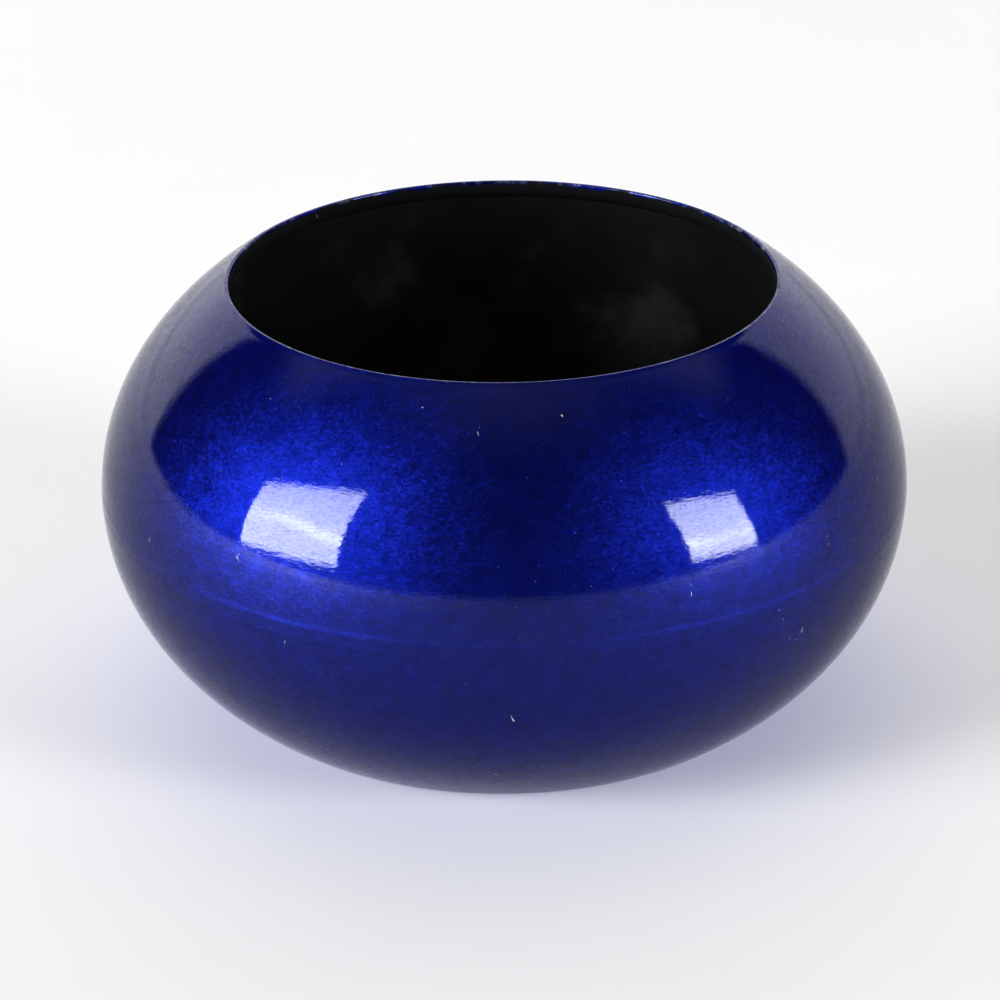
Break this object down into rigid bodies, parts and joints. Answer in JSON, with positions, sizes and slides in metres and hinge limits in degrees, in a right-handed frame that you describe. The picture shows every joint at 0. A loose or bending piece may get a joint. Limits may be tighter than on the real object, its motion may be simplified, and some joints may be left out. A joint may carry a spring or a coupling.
{
  "type": "guitar slide",
  "caption": "Squat bulging ring slide worn on a finger: glossy metallic blue lacquered body with a thin black liner in its straight bore.",
  "frame": {"origin": "on the bore's axis, in the plane of the lower rim that the slide stands on", "axes": "+Z along the bore's axis, up out of the upper mouth; X and Y are any two directions across the bore, because the slide is a solid of revolution"},
  "size_m": [0.029, 0.029, 0.0155],
  "materials": {
    "blue_lacquer": "fine metallic flake under a glossy clear coat with slight orange peel",
    "black_liner": "matte black"
  },
  "bodies": {
    "root": {"slide_ring": "blue_lacquer", "finger_liner": "black_liner"}
  },
  "joints": []
}
